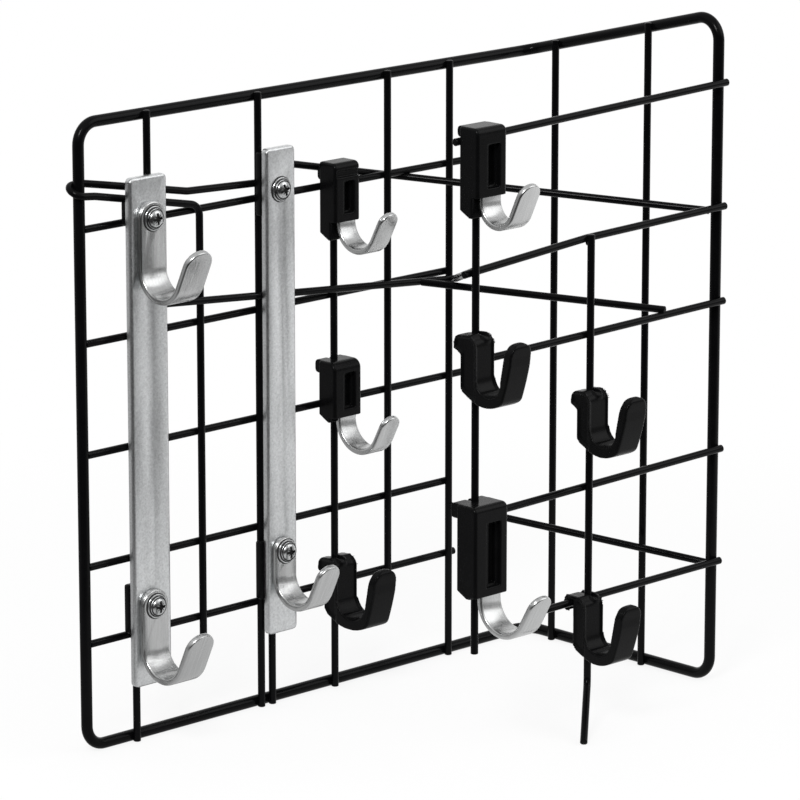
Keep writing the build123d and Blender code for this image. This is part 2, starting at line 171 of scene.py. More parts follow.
# Studio: lights, camera and floor in metres, and pairs of places and levels between which light fades
KEY_PLACE, KEY_SIZE = (-1.3, -0.9, 1.6), (0.6, 0.6)
FILL_PLACE, FILL_SIZE = (1.4, -1.5, 1.5), (1.6, 1.7)
SENSOR_MM = 36.0
VIEW_END = 50.0
FLOOR_SIDES = 96
PAPER = (0.86, 0.86, 0.86, 1.0)
WHITE = (1.0, 1.0, 1.0, 1.0)
SHADOW_FADE = ((0.44, 0.8), (0.85, 1.0))
MIRROR_AHEAD = ((-0.45, -0.1), (0.05, 1.0))
MIRROR_RIGHT = ((-0.5, 0.2), (0.45, 1.0))
MIRROR_AWAY = ((0.2, 0.9), (0.9, 1.15))
SKY_FADE = ((0.08, 0.6), (0.0, 1.0))
SHADE_ENDS = (-0.8, -0.1)
BACKDROP_ENDS = (0.1, 0.8)


# Settings that a user would change

class WallSizes(bpy.types.PropertyGroup):
    """Sizes of the small forms that the scene adds"""
    coat: bpy.props.FloatProperty(
        name="Coating", description="Thickness of the coating on the wires", default=0.27 * MM, unit="LENGTH")
    rim: bpy.props.FloatProperty(
        name="Rim", description="Width of the rims round the moulded hooks' recesses",
        default=2.1 * MM, unit="LENGTH")
    hollow: bpy.props.FloatProperty(
        name="Hollow", description="Depth of the moulded hooks' recesses", default=1.5 * MM, unit="LENGTH")
    tip_lift: bpy.props.FloatProperty(
        name="Tip", description="How far the moulded hooks' tips stand above the solid's",
        default=2.5 * MM, unit="LENGTH")
    pad_round: bpy.props.FloatProperty(
        name="Pad edge", description="Rounding of the pads' edges", default=0.5 * MM, unit="LENGTH")
    strap_round: bpy.props.FloatProperty(
        name="Strap edge", description="Rounding of the steel straps' edges", default=1.1 * MM, unit="LENGTH")
    bar_round: bpy.props.FloatProperty(
        name="Bar edge", description="Rounding of the hook bars' edges", default=0.9 * MM, unit="LENGTH")
    weld: bpy.props.FloatProperty(
        name="Weld bead", description="Radius of a weld bead at a crossing", default=1.85 * MM, unit="LENGTH")
    crown: bpy.props.FloatProperty(
        name="Wire end", description="How far a rounded wire end stands out", default=0.6 * MM, unit="LENGTH")
    washer: bpy.props.FloatProperty(
        name="Washer", description="Radius of the flat washers", default=7.4 * MM, unit="LENGTH")
    spring: bpy.props.FloatProperty(
        name="Spring washer", description="Radius of the split washers", default=6.1 * MM, unit="LENGTH")
    head: bpy.props.FloatProperty(
        name="Screw head", description="Radius of the screw heads", default=5.3 * MM, unit="LENGTH")
    recess: bpy.props.FloatProperty(
        name="Recess", description="Length of the cross recess", default=7.2 * MM, unit="LENGTH")
    # Painted shade: the dark seam is a thin ring of painted shade round each washer and the head
    seam: bpy.props.FloatProperty(
        name="Seam", description="Width of the dark seam round each washer", default=0.55 * MM, unit="LENGTH")


class WallFinishes(bpy.types.PropertyGroup):
    """Colours of the finishes"""
    wire: bpy.props.FloatVectorProperty(
        name="Wire coating", description="Colour of the coating on the wires",
        subtype="COLOR", size=3, default=(0.0024, 0.0024, 0.0027))
    bar: bpy.props.FloatVectorProperty(
        name="Bar plating", description="Colour of the plated bars and screws",
        subtype="COLOR", size=3, default=(0.68, 0.692, 0.698))
    hook: bpy.props.FloatVectorProperty(
        name="Hook plating", description="Colour of the plated hooks",
        subtype="COLOR", size=3, default=(0.57, 0.575, 0.575))
    plastic: bpy.props.FloatVectorProperty(
        name="Plastic", description="Colour of the moulded plastic",
        subtype="COLOR", size=3, default=(0.0026, 0.0026, 0.0028))


class WallStudio(bpy.types.PropertyGroup):
    """Camera and light"""
    camera_place: bpy.props.FloatVectorProperty(
        name="Camera", description="Where the camera stands", subtype="TRANSLATION", size=3, unit="LENGTH",
        default=(-1.84415, -2.16777, 0.90075))
    camera_turn: bpy.props.FloatProperty(
        name="Turn", description="Heading of the camera from +Y towards +X", subtype="ANGLE",
        default=math.radians(44.153))
    camera_pitch: bpy.props.FloatProperty(
        name="Pitch", description="How far the camera looks down", subtype="ANGLE",
        default=math.radians(13.546))
    lens: bpy.props.FloatProperty(
        name="Lens", description="Focal length in millimetres on a 36 mm sensor", default=223.74,
        unit="CAMERA")
    key: bpy.props.FloatProperty(
        name="Key", description="Power of the key light", default=26.0, unit="POWER")
    fill: bpy.props.FloatProperty(
        name="Fill", description="Power of the fill light", default=11.5, unit="POWER")
    sky: bpy.props.FloatProperty(
        name="Sky", description="Strength of the soft light from above", default=0.8)
    horizon: bpy.props.FloatProperty(
        name="Horizon", description="Strength of the soft light from the sides", default=0.42)
    shade: bpy.props.FloatProperty(
        name="Shade", description="Strength of the soft light from behind the camera", default=0.03)
    backdrop: bpy.props.FloatProperty(
        name="Backdrop", description="Strength of the soft light from behind the object", default=1.15)
    floor: bpy.props.FloatProperty(
        name="Floor", description="Radius of the pale floor", default=3.6, unit="LENGTH")
    floor_place: bpy.props.FloatVectorProperty(
        name="Floor middle", description="Middle of the pale floor", subtype="TRANSLATION", size=3,
        unit="LENGTH", default=(2.28, 2.04, 0.0))


# Shader maths

class Sock:
    """An output socket that takes part in Python arithmetic; each operation adds a Math node."""

    def __init__(self, tree, socket):
        self.tree = tree
        self.socket = socket

    def _math(self, operation, a, b):
        node = self.tree.nodes.new("ShaderNodeMath")
        node.operation = operation
        for socket, value in zip(node.inputs, (a, b)):
            if isinstance(value, Sock):
                self.tree.links.new(value.socket, socket)
            else:
                socket.default_value = value
        return Sock(self.tree, node.outputs[0])

    def __add__(self, other):
        return self._math("ADD", self, other)

    def __radd__(self, other):
        return self._math("ADD", other, self)

    def __sub__(self, other):
        return self._math("SUBTRACT", self, other)

    def __rsub__(self, other):
        return self._math("SUBTRACT", other, self)

    def __mul__(self, other):
        return self._math("MULTIPLY", self, other)

    def __rmul__(self, other):
        return self._math("MULTIPLY", other, self)


class Graph:
    """A node tree, filled by adding nodes by type, settings and socket values."""

    def __init__(self, tree):
        self.tree = tree

    def node(self, kind, settings=None, sockets=None, out=0):
        """Add a node; settings are set first, then sockets by name or number. Returns one output, or none."""
        node = self.tree.nodes.new(kind)
        for key, value in (settings or {}).items():
            setattr(node, key, value)
        for key, value in (sockets or {}).items():
            for one in value if isinstance(value, list) else [value]:
                if isinstance(one, Sock):
                    self.tree.links.new(one.socket, node.inputs[key])
                else:
                    node.inputs[key].default_value = one
        return None if out is None else Sock(self.tree, node.outputs[out])

    def dot(self, a, b):
        return self.node("ShaderNodeVectorMath", {"operation": "DOT_PRODUCT"}, {0: a, 1: b}, out="Value")

    def ramp(self, value, places, levels):
        """Smooth change between two levels as the value goes from one place to the other."""
        return self.node("ShaderNodeMapRange", {"interpolation_type": "SMOOTHSTEP"}, {
            "Value": value, "From Min": places[0], "From Max": places[1],
            "To Min": levels[0], "To Max": levels[1]})


class Finish(Graph):
    """One node material."""

    def __init__(self, name):
        self.material = bpy.data.materials.new(name)
        self.material.use_nodes = True
        super().__init__(self.material.node_tree)
        self.tree.nodes.clear()

    def place(self, scale=(1, 1, 1)):
        """Object coordinates, stretched."""
        coords = self.node("ShaderNodeTexCoord", out="Object")
        return self.node("ShaderNodeMapping", {"vector_type": "POINT"}, {"Vector": coords, "Scale": scale})

    def noise(self, vector, scale, detail=3.0, rough=0.55):
        return self.node("ShaderNodeTexNoise", {"noise_dimensions": "3D"},
                         {"Vector": vector, "Scale": scale, "Detail": detail, "Roughness": rough})

    def mix(self, factor, low, high):
        """Colour between low and high."""
        def opaque(colour):
            return colour if isinstance(colour, Sock) else (*colour[:3], 1.0)
        return self.node("ShaderNodeMix", {"data_type": "RGBA"},
                         {0: factor, 6: opaque(low), 7: opaque(high)}, out=2)

    def bump(self, height, strength, distance=0.3 * MM):
        return self.node("ShaderNodeBump", {}, {"Height": height, "Strength": strength, "Distance": distance})

    def surface(self, **sockets):
        """Principled surface; sockets by name with spaces written as underscores."""
        named = {key.replace("_", " "): value for key, value in sockets.items()}
        return self.show(self.node("ShaderNodeBsdfPrincipled", {}, named))

    def show(self, shader):
        """End the material in a shader."""
        self.node("ShaderNodeOutputMaterial", {}, {"Surface": shader}, out=None)
        return self.material


class Rule(Graph):
    """A geometry node tree that sets one small form on every point; its inputs are lengths and a seed."""

    def __init__(self, name, lengths):
        super().__init__(bpy.data.node_groups.new(name, "GeometryNodeTree"))
        add = self.tree.interface.new_socket
        add(name="Geometry", in_out="INPUT", socket_type="NodeSocketGeometry")
        for length in lengths:
            add(name=length, in_out="INPUT", socket_type="NodeSocketFloat").subtype = "DISTANCE"
        add(name="Seed", in_out="INPUT", socket_type="NodeSocketInt")
        add(name="Geometry", in_out="OUTPUT", socket_type="NodeSocketGeometry")

    def given(self, name):
        """One of the tree's inputs."""
        return self.node("NodeGroupInput", out=name)

    def moved(self, geometry, move, turn=(0, 0, 0), size=(1, 1, 1)):
        return self.node("GeometryNodeTransform", {}, {
            "Geometry": geometry, "Translation": move, "Rotation": turn, "Scale": size})

    def raised(self, geometry, level, **rest):
        return self.moved(geometry, self.vector(0.0, 0.0, level), **rest)

    def vector(self, x, y, z):
        return self.node("ShaderNodeCombineXYZ", {}, {0: x, 1: y, 2: z})

    def block(self, x, y, z):
        return self.node("GeometryNodeMeshCube", {}, {"Size": self.vector(x, y, z)})

    def ball(self, sizes):
        return self.node("GeometryNodeMeshUVSphere", {}, sizes)

    def circle(self, radius):
        return self.node("GeometryNodeCurvePrimitiveCircle", {"mode": "RADIUS"},
                         {"Resolution": RING_STEPS, "Radius": radius})

    def random(self, low, high, salt):
        """A seeded random number for each point."""
        return self.node("FunctionNodeRandomValue", {"data_type": "FLOAT"},
                         {2: low, 3: high, "Seed": self.given("Seed") + salt}, out=1)

    def on_points(self, instance, **sockets):
        """A form set on every point."""
        return self.node("GeometryNodeInstanceOnPoints", {}, {
            "Points": self.given("Geometry"), "Instance": instance, **sockets})

    def end_with(self, instances, material):
        """Make the forms real, give them their finish and end the tree in them."""
        real = self.node("GeometryNodeRealizeInstances", {}, {0: instances})
        painted = self.node("GeometryNodeSetMaterial", {}, {"Geometry": real, "Material": material})
        self.node("NodeGroupOutput", {}, {0: painted}, out=None)
        return self


# Finishes

def scaled(colour, factor):
    """A colour made darker or lighter."""
    return tuple(min(1.0, part * factor) for part in colour)


def coated_wire():
    """Black coating with a faint orange peel."""
    colour = bpy.context.scene.wall_finishes.wire
    look = Finish("coated_wire")
    here = look.place()
    cloud = look.noise(here, scale=70.0, detail=2.0)
    peel = look.noise(here, scale=500.0, detail=1.0)
    base = look.mix(cloud, low=scaled(colour, 0.7), high=scaled(colour, 1.5))
    return look.surface(Base_Color=base, Roughness=0.12 + cloud * 0.1, Specular_IOR_Level=0.07,
                        Normal=look.bump(peel, strength=0.06))


def zinc_bar():
    """Satin plating with a fine grain and soft cloudy patches."""
    colour = bpy.context.scene.wall_finishes.bar
    look = Finish("zinc_bar")
    grain = look.noise(look.place(), scale=780.0, rough=0.75)
    cloud = look.noise(look.place((1.0, 1.0, 0.35)), scale=55.0, detail=4.0, rough=0.6)
    base = look.mix(grain * 1.5 + cloud * 0.4 - 0.45, low=scaled(colour, 0.66), high=scaled(colour, 1.3))
    return look.surface(Base_Color=base, Metallic=1.0, Roughness=0.22 + grain * 0.16 + cloud * 0.06,
                        Normal=look.bump(grain, strength=0.12))


def zinc_hook():
    """Bright plating, brushed along the strap."""
    colour = bpy.context.scene.wall_finishes.hook
    look = Finish("zinc_hook")
    brush = look.noise(look.place((1.0, 0.02, 0.02)), scale=2200.0, rough=0.7)
    cloud = look.noise(look.place(), scale=90.0, rough=0.6)
    grain = look.noise(look.place(), scale=1300.0, detail=2.0, rough=0.6)
    streak = (brush * 2.0 - 0.5) * 0.55 + grain * 0.3 + cloud * 0.2
    base = look.mix(streak, low=scaled(colour, 0.66), high=scaled(colour, 1.12))
    return look.surface(Base_Color=base, Metallic=1.0, Roughness=0.17 + brush * 0.1 + cloud * 0.06,
                        Normal=look.bump(brush + grain * 0.5, strength=0.07))


def zinc_screw():
    """Plated screw steel with dull patches, with near-black painted shade in the cross recess and in the thin
    rings round the washers and the head.
    """
    colour = bpy.context.scene.wall_finishes.bar
    look = Finish("zinc_screw")
    cloud = look.noise(look.place(), scale=420.0)
    grain = look.noise(look.place(), scale=2200.0, detail=2.0)
    dark = look.node("ShaderNodeAttribute", {"attribute_name": "dark"}, out="Fac")
    plated = look.mix(cloud * 0.7 + grain * 0.3, low=scaled(colour, 0.5), high=scaled(colour, 1.1))
    # Painted shade: faces marked dark turn near black and lose their metal
    base = look.mix(dark, low=plated, high=scaled(colour, 0.02))
    return look.surface(Base_Color=base, Metallic=1.0 - dark, Roughness=0.14 + cloud * 0.12 + dark * 0.5,
                        Normal=look.bump(grain, strength=0.15, distance=0.2 * MM))


def moulded_plastic():
    """Satin black plastic with a fine spark-eroded grain."""
    colour = bpy.context.scene.wall_finishes.plastic
    look = Finish("moulded_plastic")
    cloud = look.noise(look.place(), scale=120.0)
    grain = look.noise(look.place(), scale=2600.0, detail=2.0, rough=0.6)
    base = look.mix(cloud, low=scaled(colour, 0.8), high=scaled(colour, 1.6))
    return look.surface(Base_Color=base, Roughness=0.18 + grain * 0.08 + cloud * 0.06,
                        Specular_IOR_Level=0.07, Normal=look.bump(grain, strength=0.08))


FINISH_MAKERS = {"coated_wire": coated_wire, "zinc_bar": zinc_bar, "zinc_hook": zinc_hook,
                 "zinc_screw": zinc_screw, "moulded_plastic": moulded_plastic}


def finish(name):
    """The named finish, made on first use."""
    return bpy.data.materials.get(name) or FINISH_MAKERS[name]()


# Mesh helpers

def set_only_material(obj, material):
    obj.data.materials.clear()
    obj.data.materials.append(material)


def merged_copy(node):
    """A bmesh of a CAD node with its loose triangles merged and flat faces made whole."""
    bm = bmesh.new()
    bm.from_mesh(frame["nodes"][node].data)
    bmesh.ops.remove_doubles(bm, verts=bm.verts, dist=MERGE_GAP)
    bmesh.ops.dissolve_limit(bm, angle_limit=math.radians(FLAT_ANGLE), verts=bm.verts, edges=bm.edges)
    return bm


def add_piece(name, bm, material, node):
    """Link a finished bmesh as a piece that stands for a CAD node and rides on its body."""
    mesh = bpy.data.meshes.new(name)
    bm.to_mesh(mesh)
    bm.free()
    obj = bpy.data.objects.new(name, mesh)
    bpy.context.scene.collection.objects.link(obj)
    set_only_material(obj, material)
    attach(obj, BODY[node])
    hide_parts(node)
    return obj


def applied(obj):
    """A plain mesh of an object with its modifiers applied."""
    graph = bpy.context.evaluated_depsgraph_get()
    return bpy.data.meshes.new_from_object(obj.evaluated_get(graph), depsgraph=graph)


def with_normals(mesh):
    """Pairs of each vertex and its normal, as they are before any vertex moves."""
    return zip(mesh.vertices, [normal.vector.copy() for normal in mesh.vertex_normals])


def smooth(obj, degrees):
    """Smooth shading, sharp over the angle."""
    for face in obj.data.polygons:
        face.use_smooth = True
    obj.data.set_sharp_from_angle(angle=math.radians(degrees))


def bevel(bm, edges, width, segments):
    bmesh.ops.bevel(bm, geom=edges, offset=width, offset_type="OFFSET", segments=segments, profile=0.5,
                    affect="EDGES", clamp_overlap=False)


def round_edges(bm, width, segments, degrees):
    """Bevel the edges that are sharper than the angle."""
    limit = math.radians(degrees)
    sharp = [edge for edge in bm.edges if len(edge.link_faces) == 2 and edge.calc_face_angle(0.0) > limit]
    bevel(bm, sharp, width, segments)


def dressed(node, material, width):
    """A rounded copy of a plated CAD node that stands for it."""
    bm = merged_copy(node)
    round_edges(bm, width, STRAP_SEGMENTS, STRAP_ANGLE)
    smooth(add_piece("plated_" + node, bm, finish(material), node), PLATE_SHARP)


def melt(obj, rounds, swell):
    """Round all edges of a piece as a mould leaves them."""
    skin = obj.modifiers.new("skin", "REMESH")
    skin.mode = "VOXEL"
    skin.voxel_size = VOXEL
    soft = obj.modifiers.new("soft", "SMOOTH")
    soft.factor = MELT_FACTOR
    soft.iterations = rounds
    made = applied(obj)
    obj.modifiers.clear()
    obj.data = made
    for vert, normal in with_normals(made):
        vert.co += normal * swell
    smooth(obj, MELT_SHARP)


def clear_bore(obj, node):
    """Make room in a clip for the coated wire that it runs on."""
    wire = [vert.co for vert in frame["nodes"][RUNS_ON[node]].data.vertices if vert.co.z > STRAIGHT_ABOVE]
    axis = Vector([(min(co[i] for co in wire) + max(co[i] for co in wire)) / 2 for i in (0, 1)])
    for vert, normal in with_normals(obj.data):
        out = vert.co.xy - axis
        if out.length < BORE and abs(normal.z) < BORE_TILT:
            vert.co.xy = axis + out.normalized() * BORE


# Moulded hooks and pads

def sink(bm, faces):
    """Recess faces behind a rim."""
    sizes = bpy.context.scene.wall_sizes
    bmesh.ops.inset_region(bm, faces=faces, thickness=sizes.rim, depth=-sizes.hollow, use_boundary=True,
                           use_even_offset=True)


def largest(faces):
    return max(faces, key=lambda face: face.calc_area())


def shape_tip_and_head(bm, node):
    """Lift the free arm's tip and round the head towards its back."""
    (_, front, _), (_, back, high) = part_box(node)
    lift = bpy.context.scene.wall_sizes.tip_lift
    crown = CROWN_R[node]
    tip = max(vert.co.z for vert in bm.verts if vert.co.y < front + TIP_DEPTH)
    for vert in bm.verts:
        if vert.co.y < front + TIP_DEPTH and vert.co.z > tip - TIP_HEIGHT:
            vert.co.z += lift
        out = Vector((0.0, vert.co.y - back + crown, vert.co.z - high + crown))
        if out.y > 0 and out.z > 0 and out.length > crown:
            vert.co -= out * (1.0 - crown / out.length)
    bm.normal_update()


def channel_faces(bm, leg, arm):
    """The leg's front face with those that run on from it over the head and into the bend."""
    leg_y = leg.calc_center_median().y
    leg_top = max(vert.co.z for vert in leg.verts)
    channel = [leg]
    for face in bm.faces:
        middle = face.calc_center_median()
        if face is leg or abs(face.normal.x) > ASIDE or middle.y < arm:
            continue
        over = middle.z > leg_top and face.normal.y < -AHEAD_ABOVE
        under = middle.z < leg_top and middle.y < leg_y and face.normal.y < -AHEAD_BELOW
        if over or under:
            channel.append(face)
    return channel


def side_faces(bm, way):
    """The large flat faces on one side of a hook."""
    return [face for face in bm.faces if face.normal.x * way > SQUARE_ON and face.calc_area() > SIDE_AREA]


def moulded_hook(node):
    """A moulded hook whose leg has a recess behind rims at its sides and its front."""
    (_, front, _), (_, _, high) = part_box(node)
    arm = front + ARM_DEPTH
    bm = merged_copy(node)
    shape_tip_and_head(bm, node)
    leg = largest(face for face in bm.faces
                  if face.normal.y < -SQUARE_ON and face.calc_center_median().y > arm)
    heel = largest(face for face in bm.faces if face.normal.y > SQUARE_ON)
    leg_y = leg.calc_center_median().y
    heel_y = heel.calc_center_median().y
    sink(bm, channel_faces(bm, leg, arm))
    for way in (-1, 1):
        sides = side_faces(bm, way)
        edges = {edge for face in sides for edge in face.edges}
        verts = {vert for face in sides for vert in face.verts}
        bmesh.ops.bisect_plane(bm, geom=[*sides, *edges, *verts], plane_co=(0.0, leg_y, 0.0),
                               plane_no=(0.0, 1.0, 0.0))
        sink(bm, [face for face in side_faces(bm, way) if face.calc_center_median().y > leg_y])
    obj = add_piece("moulded_" + node, bm, finish("moulded_plastic"), node)
    melt(obj, MELT_ROUNDS[node], HOOK_SWELL)
    for vert in obj.data.vertices:
        if vert.co.z < high - LIP_HEIGHT:
            vert.co.y = min(vert.co.y, heel_y - HEEL_GAP)
    clear_bore(obj, node)


def pad_piece(node):
    """A pad with rounded corners between its bar and the wires."""
    left, right, low, high = (span * MM for span in PAD_SPANS[node])
    (_, front, _), (_, back, _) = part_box(node)
    middle = Vector(((left + right) / 2, (front + back) / 2, (low + high) / 2))
    size = Vector((right - left, back - front, high - low))
    bm = bmesh.new()
    bmesh.ops.create_cube(bm, size=1.0, matrix=Matrix.LocRotScale(middle, None, size))
    corners = [edge for edge in bm.edges if abs(edge.verts[0].co.y - edge.verts[1].co.y) > size.y / 2]
    bevel(bm, corners, PAD_CORNER, PAD_CORNER_SEGMENTS)
    round_edges(bm, bpy.context.scene.wall_sizes.pad_round, PAD_SEGMENTS, PAD_ANGLE)
    smooth(add_piece("moulded_" + node, bm, finish("moulded_plastic"), node), PLATE_SHARP)


# Wires

def coated_copy(node, coat):
    """A bmesh of a wire with the coating's thickness added."""
    bm = merged_copy(node)
    bm.normal_update()
    places = [(vert, vert.co + vert.normal * coat * vert.calc_shell_factor()) for vert in bm.verts]
    for vert, place in places:
        vert.co = place
    return bm


def wire_ends(bm):
    """Centre, outward direction and radius of each end of a wire."""
    ends = []
    for face in bm.faces:
        middle = face.calc_center_median()
        girth = max((vert.co - middle).length for vert in face.verts)
        if len(face.verts) > END_SIDES and girth < END_GIRTH:
            ends.append((middle, face.normal.copy(), girth))
    return ends


def is_straight(ends):
    """Whether a wire's two ends lie along the way that one of them faces."""
    return len(ends) == 2 and (ends[1][0] - ends[0][0]).normalized().dot(ends[1][1]) > IN_LINE


def weld_places(shapes):
    """Where welded wires touch: along each half of a straight wire, its nearest place on the other."""
    places = []
    trees = {node: BVHTree.FromBMesh(bm) for node, bm in shapes.items()}
    ends = {node: wire_ends(bm) for node, bm in shapes.items()}
    for pair in frame["record"]["behaviour"]["press_fits"]:
        wires = [node for node in pair if node in shapes]
        lines = [node for node in wires if is_straight(ends[node])]
        if len(wires) < 2 or not lines:
            continue
        line = lines[0]
        other = wires[1] if wires[0] == line else wires[0]
        start, way = ends[line][0][0], ends[line][1][0] - ends[line][0][0]
        steps = int(way.length / WELD_STEP)
        for half in (range(steps // 2), range(steps // 2, steps + 1)):
            found = [trees[other].find_nearest(start + way * (i / steps)) for i in half]
            place, _, _, gap = min(found, key=lambda hit: hit[3])
            if gap < WELD_REACH:
                places.append(place)
    return places


# Rules for what repeats

def grown(name, rule, values, points, ways=None):
    """Run a rule on points and keep the result as a plain mesh."""
    mesh = bpy.data.meshes.new(name)
    mesh.from_pydata(points, [], [])
    if ways:
        mesh.attributes.new("way", "FLOAT_VECTOR", "POINT").data.foreach_set(
            "vector", [part for way in ways for part in way])
    obj = bpy.data.objects.new(name, mesh)
    bpy.context.scene.collection.objects.link(obj)
    modifier = obj.modifiers.new(name, "NODES")
    modifier.node_group = rule.tree
    for item in rule.tree.interface.items_tree:
        if item.in_out == "INPUT" and item.name in values:
            modifier[item.identifier] = values[item.name]
    made = applied(obj)
    obj.modifiers.remove(modifier)
    obj.data = made
    smooth(obj, SMALL_SHARP)
    return obj


def end_rule(material):
    """A low crown on each wire end; the points carry the direction and the wire's radius as its length."""
    rule = Rule("wire_ends", ["Crown"])
    way = rule.node("GeometryNodeInputNamedAttribute", {"data_type": "FLOAT_VECTOR"}, {"Name": "way"})
    girth = rule.node("ShaderNodeVectorMath", {"operation": "LENGTH"}, {0: way}, out="Value")
    turn = rule.node("FunctionNodeAlignRotationToVector", {"axis": "Z"}, {"Vector": way})
    placed = rule.on_points(rule.ball(END_BALL), Rotation=turn,
                            Scale=rule.vector(girth, girth, rule.given("Crown")))
    return rule.end_with(placed, material)


def weld_rule(material):
    """A small uneven bead at each crossing."""
    rule = Rule("weld_beads", ["Radius"])
    bead = rule.node("GeometryNodeMeshIcoSphere", {},
                     {"Radius": rule.given("Radius"), "Subdivisions": WELD_FACETS})
    size = rule.vector(*(rule.random(*WELD_SPREAD, salt) for salt in range(3)))
    return rule.end_with(rule.on_points(bead, Scale=size), material)


def ring(rule, path, width, height):
    """A flat ring with rounded edges along a path."""
    profile = rule.node("GeometryNodeCurvePrimitiveQuadrilateral", {"mode": "RECTANGLE"},
                        {"Width": width, "Height": height})
    soft = rule.node("GeometryNodeFilletCurve", {"mode": "POLY"}, {
        "Curve": profile, "Count": RING_ROUND_STEPS, "Radius": height * RING_ROUND, "Limit Radius": True})
    return rule.node("GeometryNodeCurveToMesh", {}, {"Curve": path, "Profile Curve": soft, "Fill Caps": True})


def with_painted_shade(rule, geometry):
    """Geometry whose faces carry the mark for painted shade, near black in the screw finish."""
    return rule.node("GeometryNodeStoreNamedAttribute", {"data_type": "FLOAT", "domain": "FACE"},
                     {"Geometry": geometry, "Name": "dark", "Value": 1.0})


def painted_shade_ring(rule, radius, width, base):
    """A thin ring of painted shade, with a little grime, round a washer or a head, just over what it lies on.
    """
    flat = ring(rule, rule.circle(radius), width * SHADE_RING_WIDE, width * SHADE_RING_HIGH)
    return with_painted_shade(rule, rule.raised(flat, base + width * SHADE_RING_LEVEL))


def screw_head(rule, head, recess, top, base):
    """A dome cut flat at its base, with a cross recess and fine ticks between its arms."""
    dome = rule.raised(rule.ball(HEAD_BALL), base, size=rule.vector(head, head, top))
    cross = rule.block(recess, recess * CROSS_WIDE, top * CROSS_DEEP)
    tick = rule.block(recess * TICK_LONG, recess * TICK_WIDE, top * TICK_DEEP)
    # The recess and the ticks carry the mark for painted shade, so their walls come out near black
    arms = [with_painted_shade(rule, rule.raised(part, base + top, turn=(0.0, 0.0, math.radians(turn))))
            for part, turn in ((cross, 0), (cross, 90), (tick, 45), (tick, 135))]
    under = rule.block(head * UNDER_WIDE, head * UNDER_WIDE, top * UNDER_DEEP)
    return rule.node("GeometryNodeMeshBoolean", {"operation": "DIFFERENCE", "solver": "EXACT"}, {
        "Mesh 1": dome, "Mesh 2": [*arms, rule.raised(under, base - top)]})


def screw_rule(material):
    """A pan-head screw with a cross recess on a split washer and a flat washer, turned by chance."""
    names = ("Washer", "Spring", "Head", "Recess", "Seam", "Washer height", "Spring height", "Head height")
    rule = Rule("screws", names)
    washer, spring, head, recess, seam, low, mid, top = (rule.given(name) for name in names)
    hole = head * HOLE_SHARE
    base = low + mid
    flat = rule.raised(ring(rule, rule.circle((washer + hole) * 0.5), washer - hole, low), low * 0.5)
    arc = rule.node("GeometryNodeCurveArc", {"mode": "RADIUS"}, {
        "Resolution": RING_STEPS, "Radius": (spring + hole) * 0.5, "Start Angle": 0.0,
        "Sweep Angle": SPRING_SWEEP})
    split = rule.raised(ring(rule, arc, spring - hole, mid), low + mid * 0.5)
    # Thin rings of painted shade round the flat washer, the split washer and the head
    shade_rings = [painted_shade_ring(rule, radius, seam, level)
             for radius, level in ((washer, 0.0), (spring, low), (head, base))]
    whole = rule.node("GeometryNodeJoinGeometry", {}, {
        0: [flat, split, screw_head(rule, head, recess, top, base), *shade_rings]})
    placed = rule.on_points(whole, Rotation=FACING_FRONT)
    chance = rule.vector(0.0, 0.0, rule.random(0.0, math.tau, 0))
    turned = rule.node("GeometryNodeRotateInstances", {}, {
        "Instances": placed, "Rotation": chance, "Local Space": True})
    return rule.end_with(turned, material)


# Pieces

class WALL_OT_wires(bpy.types.Operator):
    """Coat the wires, round their ends and put a weld bead at each crossing"""
    bl_idname = "wall.wires"
    bl_label = "Wires"

    def execute(self, context):
        sizes = context.scene.wall_sizes
        coat = finish("coated_wire")
        shapes = {node: coated_copy(node, sizes.coat) for node in WIRES}
        tips = [tip for node in WIRES for tip in wire_ends(shapes[node])]
        ends = grown("wire_ends", end_rule(coat), {"Crown": sizes.crown}, [middle for middle, _, _ in tips],
                     [way * girth * END_FIT for _, way, girth in tips])
        beads = grown("weld_beads", weld_rule(coat), {"Radius": sizes.weld, "Seed": WELD_SEED},
                      weld_places(shapes))
        for node, bm in shapes.items():
            smooth(add_piece("coated_" + node, bm, coat, node), WIRE_SHARP)
        for obj in (ends, beads):
            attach(obj, "rack")
        return {"FINISHED"}


class WALL_OT_bars(bpy.types.Operator):
    """Make the plated hook bars and the pads behind them"""
    bl_idname = "wall.bars"
    bl_label = "Hook bars"

    def execute(self, context):
        for node in BAR_NODES:
            dressed(node, "zinc_bar", context.scene.wall_sizes.bar_round)
        for node in PAD_SPANS:
            pad_piece(node)
        return {"FINISHED"}


class WALL_OT_straps(bpy.types.Operator):
    """Make the bent steel hooks"""
    bl_idname = "wall.straps"
    bl_label = "Steel hooks"

    def execute(self, context):
        for node in BAR_HOOKS + CLIP_HOOKS:
            dressed(node, "zinc_hook", context.scene.wall_sizes.strap_round)
        return {"FINISHED"}


class WALL_OT_screws(bpy.types.Operator):
    """Make the screws with their washers"""
    bl_idname = "wall.screws"
    bl_label = "Screws"

    def execute(self, context):
        sizes = context.scene.wall_sizes
        points = []
        for node in SCREWS:
            low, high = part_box(node)
            points.append(((low[0] + high[0]) / 2, low[1] + SCREW_STAND, (low[2] + high[2]) / 2))
        values = {"Washer": sizes.washer, "Spring": sizes.spring, "Head": sizes.head, "Recess": sizes.recess,
                  "Seam": sizes.seam, "Washer height": WASHER_HEIGHT, "Spring height": SPRING_HEIGHT,
                  "Head height": HEAD_HEIGHT, "Seed": SCREW_SEED}
        obj = grown("screws", screw_rule(finish("zinc_screw")), values, points)
        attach(obj, "rack")
        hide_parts(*SCREWS)
        return {"FINISHED"}


